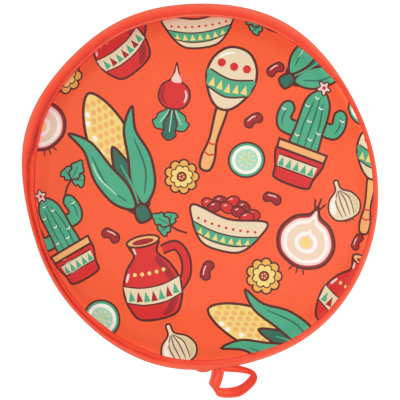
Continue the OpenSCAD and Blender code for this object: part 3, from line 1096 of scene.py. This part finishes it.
# The tape of the loop, by its two edges: (along, out, height) of the outer and of the inner edge, in
# millimetres from where it leaves the rim. Along runs to the right as the camera sees it.
LOOP_EDGES = [
    ((-15.0, -3.0, 1.2), (-4.4, -3.0, 1.2)),
    ((-15.3, -1.0, 1.3), (-4.6, -0.6, 1.3)),
    ((-15.7, 1.7, 1.5), (-4.8, 2.6, 1.5)),
    ((-17.0, 5.4, 1.7), (-6.0, 6.0, 1.6)),
    ((-18.6, 8.4, 1.8), (-7.6, 9.6, 1.6)),
    ((-19.6, 10.9, 1.9), (-9.2, 12.6, 1.6)),
    ((-18.4, 13.6, 2.6), (-10.6, 14.9, 2.4)),
    ((-16.6, 16.6, 2.7), (-11.1, 15.3, 2.6)),
    ((-15.5, 19.4, 1.2), (-10.9, 15.8, 1.2)),
    ((-14.1, 22.6, 1.0), (-9.9, 16.1, 1.1)),
    ((-11.0, 24.4, 1.0), (-7.6, 16.6, 1.2)),
    ((-7.0, 25.4, 1.0), (-4.6, 17.0, 1.4)),
    ((-1.5, 26.2, 1.0), (-1.0, 17.2, 1.7)),
    ((4.2, 26.2, 1.0), (3.4, 16.9, 2.1)),
    ((9.4, 24.3, 1.1), (7.6, 15.7, 2.6)),
    ((14.6, 21.2, 1.2), (11.6, 13.5, 3.3)),
    ((18.6, 18.0, 1.3), (14.6, 11.1, 4.0)),
    ((21.0, 14.9, 1.4), (16.1, 9.6, 4.6)),
    ((21.9, 11.6, 1.5), (16.7, 8.9, 4.9)),
    ((21.0, 8.2, 1.7), (15.6, 8.4, 4.7)),
    ((18.8, 5.4, 1.9), (13.0, 7.5, 4.1)),
    ((14.2, 2.6, 1.6), (9.0, 6.3, 3.2)),
    ((8.8, 0.4, 1.2), (4.0, 5.1, 2.3)),
    ((3.0, -1.6, 1.0), (-1.0, 4.1, 1.6)),
    ((-3.0, -3.0, 1.0), (-5.5, 3.0, 1.2)),
    ((-9.0, -3.8, 0.9), (-9.5, 1.6, 1.0)),
]
LOOP_W = 9 * MM
LOOP_HALF_T = 0.62 * MM
LOOP_WORN_H = 0.12 * MM
# Where the two fold lines of the loop's tape run, as shares of its width, and how deep they are.
LOOP_FOLDS = (0.27, 0.73)
LOOP_FOLD_H = 0.22 * MM
# Where the loop's underside starts on the flat tape.
UNDER_ACROSS = 12 * MM


def distance_along(line):
    """How far along a line each of its points lies."""
    return np.concatenate([[0], np.cumsum(np.linalg.norm(np.diff(line, axis=0), axis=1))])


def loop_edge(edge):
    """One edge of the loop as a smooth line in the row frame."""
    edge = np.array(edge)
    points = through(edge, 6, 2 * edge[0] - edge[1], 2 * edge[-1] - edge[-2]) * MM
    out = np.array([math.cos(LOOP_AT), math.sin(LOOP_AT)])
    root = (POUCH_R + edge_offset(LOOP_AT)) * out
    flat = root + points[:, :1] * (-out[1], out[0]) + points[:, 1:2] * out
    return np.concatenate([flat, points[:, 2:]], axis=1)


def loop_tone_and_painted_shade(along, q, top):
    """Tone along the loop: painted shade in its fold lines, on the side that turns away and where its tail
    meets the rim, a paler outer edge and random patches. q runs across the tape.
    """
    # Painted shade in the fold lines.
    folds = 0.62 * hump(q, LOOP_FOLDS[0], 0.07) + 0.5 * hump(q, LOOP_FOLDS[1], 0.07)
    # Painted shade on the part of the loop that turns away.
    turned_away = 0.32 * ramp(along, 28 * MM, 44 * MM) * (1 - ramp(along, 62 * MM, 70 * MM)) * (0.6 + 0.5 * q)
    edge = -0.35 * hump(q, 0.08, 0.09)
    uneven = 0.10 * steady_noise(along / (4 * MM) + 3 * q, 21)
    # Painted shadow in the crease where the tape's tail meets the rim.
    tail = 0.8 * hump(q, 0, 0.3) * ramp(along, 63 * MM, 68 * MM) * (1 - ramp(along, 75 * MM, 84 * MM))
    faded = 0.6 + 0.4 * steady_noise(along / (9 * MM), 22)
    return folds * faded + turned_away + edge + uneven + tail * top - 0.1


def hanging_loop():
    """The loop of folded tape, a thick ribbon between its two edges, and its stitches."""
    outer, inner = (loop_edge(edge) for edge in zip(*LOOP_EDGES))
    middle = (outer + inner) / 2
    up = unit(np.cross(outer - inner, np.gradient(middle, axis=0)))
    up *= np.sign(up[:, 2:] + 1e-9)
    along = distance_along(middle)
    lines = []
    for side in (1, -1):
        for q in np.linspace(0, 1, 21)[::side]:
            half = LOOP_HALF_T * math.sqrt(max(0.04, 1 - abs(2 * q - 1) ** 5))
            folds = LOOP_FOLD_H * sum(hump(q, fold, 0.05) for fold in LOOP_FOLDS) * (side > 0)
            uneven = LOOP_WORN_H * steady_noise(along / (5 * MM) + q * 2, 5 + side)
            points = outer + (inner - outer) * q + up * ((half - folds) * side + uneven)[:, None]
            across = q * LOOP_W + (side < 0) * UNDER_ACROSS
            flat = np.stack([along, np.full(len(along), across)], axis=1)
            lines.append((points, flat, loop_tone_and_painted_shade(along, q, side > 0)))
    return lofted("hanging_loop_tape", lines), loop_seam(outer, inner, up)


# ---------------------------------------------------------------- materials

# How far the weave of the cloth and the twist of the thread stand out.
WEAVE_H = 0.1 * MM


def add_node(nodes, kind, **inputs):
    """A shader node of a kind, with constant inputs given by name."""
    node = nodes.new("ShaderNode" + kind)
    for name, value in inputs.items():
        node.inputs[name.replace("_", " ")].default_value = value
    return node


def new_material(name, roughness):
    """A material with its nodes, links and shader."""
    material = bpy.data.materials.new(name)
    material.use_nodes = True
    nodes, links = material.node_tree.nodes, material.node_tree.links
    shader = nodes["Principled BSDF"]
    shader.inputs["Roughness"].default_value = roughness
    return material, nodes, links, shader


def add_bump(nodes, links, shader, height, strength):
    """Lets a height show in the shader's light and shade."""
    bump = add_node(nodes, "Bump", Strength=strength, Distance=WEAVE_H)
    links.new(height, bump.inputs["Height"])
    links.new(bump.outputs["Normal"], shader.inputs["Normal"])


def add_patches(nodes, links, shader, colour, coordinates, scale, low, high):
    """Gives the shader a colour that varies a little in patches."""
    patches = add_node(nodes, "TexNoise", Scale=scale, Detail=3.0)
    links.new(coordinates, patches.inputs["Vector"])
    tone = add_node(nodes, "MapRange", To_Min=low, To_Max=high)
    links.new(patches.outputs["Fac"], tone.inputs["Value"])
    mix = add_node(nodes, "Mix", Factor=1.0)
    mix.data_type = "RGBA"
    mix.blend_type = "MULTIPLY"
    links.new(colour, mix.inputs["A"])
    links.new(tone.outputs["Result"], mix.inputs["B"])
    links.new(mix.outputs["Result"], shader.inputs["Base Color"])


def constant_colour(nodes, colour):
    node = nodes.new("ShaderNodeRGB")
    node.outputs[0].default_value = linear(colour)
    return node.outputs[0]


def cloth_material(name, threads_per_metre, roughness, sheen, colour, bump=0.12, patches=(0.95, 1.03)):
    """Woven cloth of one colour, or of the colours kept in a named attribute."""
    material, nodes, links, shader = new_material(name, roughness)
    shader.inputs["Specular IOR Level"].default_value = 0.35
    shader.inputs["Sheen Weight"].default_value = sheen
    shader.inputs["Sheen Roughness"].default_value = 0.4
    uv = nodes.new("ShaderNodeUVMap")
    uv.uv_map = "cloth"
    if isinstance(colour, str):
        source = nodes.new("ShaderNodeAttribute")
        source.attribute_name = colour
        base = source.outputs["Color"]
    else:
        base = constant_colour(nodes, colour)
    add_patches(nodes, links, shader, base, uv.outputs["UV"], 9, *patches)
    # Crossed threads. A wave texture shows scale * 20 / (2 pi) bands in each unit.
    scale = threads_per_metre * 2 * POUCH_R * math.pi / 10
    weave = nodes.new("ShaderNodeMath")
    for socket, direction in enumerate("XY"):
        wave = add_node(nodes, "TexWave", Scale=scale, Distortion=0.6, Detail=1.0)
        wave.bands_direction = direction
        links.new(uv.outputs["UV"], wave.inputs["Vector"])
        links.new(wave.outputs["Fac"], weave.inputs[socket])
    add_bump(nodes, links, shader, weave.outputs[0], bump)
    return material


def thread_material(name, colour):
    """Twisted sewing thread."""
    material, nodes, links, shader = new_material(name, 0.45)
    shader.inputs["Sheen Weight"].default_value = 0.2
    place = nodes.new("ShaderNodeTexCoord").outputs["Object"]
    add_patches(nodes, links, shader, constant_colour(nodes, colour), place, 900, 0.82, 1.08)
    twist = add_node(nodes, "TexWave", Scale=700)
    twist.bands_direction = "DIAGONAL"
    links.new(place, twist.inputs["Vector"])
    add_bump(nodes, links, shader, twist.outputs["Fac"], 0.4)
    return material


# ---------------------------------------------------------------- stage, lights and camera

def grey(level_of_grey):
    return (level_of_grey, level_of_grey, level_of_grey, 1)


def add_light(name, size, power, place):
    """A round soft light over the pouch, turned to its middle."""
    data = bpy.data.lights.new(name, "AREA")
    data.shape = "DISK"
    data.size = size
    data.energy = power
    lamp = bpy.data.objects.new(name, data)
    bpy.context.scene.collection.objects.link(lamp)
    lamp.location = place
    lamp.rotation_euler = (-Vector(place)).to_track_quat("-Z", "Y").to_euler()


def seen_by_eye(nodes, links):
    """1 for what the camera sees, straight or through a reflection or glass."""
    path = nodes.new("ShaderNodeLightPath")
    total = path.outputs["Is Camera Ray"]
    for output in ("Is Glossy Ray", "Is Transmission Ray"):
        add = nodes.new("ShaderNodeMath")
        add.operation = "MAXIMUM"
        links.new(total, add.inputs[0])
        links.new(path.outputs[output], add.inputs[1])
        total = add.outputs[0]
    return total


def make_stage():
    """A white floor that keeps the pouch's shadow, and a white surround."""
    material, nodes, links, shader = new_material("white_floor", 0.9)
    shader.inputs["Base Color"].default_value = grey(0.86)
    shader.inputs["Specular IOR Level"].default_value = 0.1
    glow = add_node(nodes, "Emission", Color=grey(0.62))
    links.new(seen_by_eye(nodes, links), glow.inputs["Strength"])
    add = nodes.new("ShaderNodeAddShader")
    links.new(shader.outputs[0], add.inputs[0])
    links.new(glow.outputs[0], add.inputs[1])
    links.new(add.outputs[0], nodes["Material Output"].inputs["Surface"])
    clear_selection()
    bpy.ops.mesh.primitive_plane_add(size=6, location=(0, 0, -0.2 * MM))
    floor = bpy.context.object
    floor.name = "floor"
    floor.data.materials.append(material)
    world = bpy.data.worlds.new("surround")
    bpy.context.scene.world = world
    world.use_nodes = True
    nodes, links = world.node_tree.nodes, world.node_tree.links
    background = nodes["Background"]
    background.inputs["Color"].default_value = grey(1)
    strength = add_node(nodes, "MapRange", To_Min=0.45, To_Max=1.0)
    links.new(seen_by_eye(nodes, links), strength.inputs["Value"])
    links.new(strength.outputs["Result"], background.inputs["Strength"])


# The photograph's width, the pouch's middle in it, the real size of its pixel, and the camera's height.
FRAME_PX = 400
CENTRE_PX = (200.94, 186.41)
PX = 0.844 * MM
CAMERA_H = 1.6
SENSOR_MM = 36


def make_camera():
    """Looks straight down, as the photograph does."""
    data = bpy.data.cameras.new("camera")
    camera = bpy.data.objects.new("camera", data)
    bpy.context.scene.collection.objects.link(camera)
    aside = (FRAME_PX / 2 - CENTRE_PX[0], CENTRE_PX[1] - FRAME_PX / 2)
    camera.location = (*turned(aside, -VIEW_TURN) * PX, CAMERA_H)
    camera.rotation_euler = (0, 0, -VIEW_TURN)
    data.sensor_width = SENSOR_MM
    data.lens = SENSOR_MM * (CAMERA_H - RIM_TOP) / (FRAME_PX * PX)
    bpy.context.scene.camera = camera


make_camera()
make_stage()
bpy.context.scene.view_settings.view_transform = "Standard"
add_light("key", 0.8, 6.6, (0.55, -0.32, 1.15))
add_light("fill", 1.4, 5.6, (-0.55, 0.35, 1.25))

# ---------------------------------------------------------------- the pieces

# The printed cloth takes its colours from the print attribute, which also holds the painted shade beside the
# tape.
printed = cloth_material("printed_cloth", 1400, 0.5, 0.06, "print")
lining = cloth_material("lining_cloth", 1100, 0.75, 0.1, (238, 230, 214), 0.3)
wadding = cloth_material("wadding", 500, 0.95, 0.3, (240, 239, 235), 0.6)
# The tape takes its colour from its attribute, which holds painted shade and painted highlights.
binding = cloth_material("binding_tape", 1500, 0.55, 0.12, "tape_colour_and_painted_light", 0.3, (0.9, 1.04))
thread = thread_material("sewing_thread", (240, 74, 46))

front_disc = disc_mesh(2.4 * MM, placed(-VIEW_TURN, 1))
back_disc = disc_mesh(3.0 * MM, placed(math.radians(100), -1))
plain_disc = disc_mesh(3.4 * MM, [])
STITCH = one_stitch()

front_cloth = panel("front_cloth", front_disc, "front_batting_top", "front_top", printed)
front_pad = panel("front_wadding", plain_disc, "front_lining_top", "front_batting_top", wadding)
front_inside = panel("front_lining_cloth", plain_disc, "front_bottom", "front_lining_top", lining)
back_cloth = panel("back_cloth", back_disc, "back_bottom", "back_outer_top", printed)
back_pad = panel("back_wadding", plain_disc, "back_outer_top", "back_batting_top", wadding)
back_inside = panel("back_lining_cloth", plain_disc, "back_batting_top", "back_top", lining)

# The sewn rim runs from one end of the mouth round to the other. The mouth's tapes reach under its ends,
# by this angle.
MOUTH_TUCKED = 0.03
ROUND_START = MOUTH_START + 2 * math.pi
sewn_angles = np.linspace(MOUTH_END, ROUND_START, 560)
mouth_angles = np.linspace(MOUTH_START - MOUTH_TUCKED, MOUTH_END + MOUTH_TUCKED, 330)
rim_tape = tape("rim_tape", sewn_angles, "front_top", "back_bottom")
front_tape = tape("front_mouth_tape", mouth_angles, "front_top", "front_bottom", 0.9)
back_tape = tape("back_mouth_tape", mouth_angles, "back_top", "back_bottom", 0.9)
rim_stitches = rim_seam("rim_stitches", MOUTH_END, ROUND_START, "front_top")
front_stitches = rim_seam("front_mouth_stitches", MOUTH_START, MOUTH_END, "front_top")
back_stitches = rim_seam("back_mouth_stitches", MOUTH_START, MOUTH_END, "back_top")
loop_tape, loop_stitches = hanging_loop()
bartack = loop_tack()

# Each piece with its slot and the CAD nodes that it stands for.
STANDS_FOR = (
    (front_cloth, "printed_cloth", "front_outer_fabric", "flap_outer_fabric"),
    (front_pad, "batting", "front_batting", "flap_batting"),
    (front_inside, "lining", "front_lining", "flap_lining"),
    (back_cloth, "printed_cloth", "back_outer_fabric"),
    (back_pad, "batting", "back_batting"),
    (back_inside, "lining", "back_lining"),
    (rim_tape, "binding_tape", "rim_binding"),
    (front_tape, "binding_tape", "front_mouth_binding"),
    (back_tape, "binding_tape", "back_mouth_binding"),
    (rim_stitches, "thread", "rim_stitching"),
    (front_stitches, "thread", "front_mouth_stitching"),
    (back_stitches, "thread", "back_mouth_stitching"),
    (loop_tape, "binding_tape", "hanging_loop"),
    (loop_stitches, "thread", "loop_stitching"),
    (bartack, "thread", "loop_bartack"),
)
for piece, slot, *nodes in STANDS_FOR:
    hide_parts(*nodes)

for piece in (front_cloth, front_pad, front_inside, front_tape, front_stitches):
    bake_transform(piece)
for piece in (back_cloth, back_pad, back_inside, rim_tape, back_tape, rim_stitches, back_stitches, bartack):
    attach(piece, "pouch")
# The loop's tape stays sewn at its root.
for piece in (loop_tape, loop_stitches):
    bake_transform(piece)
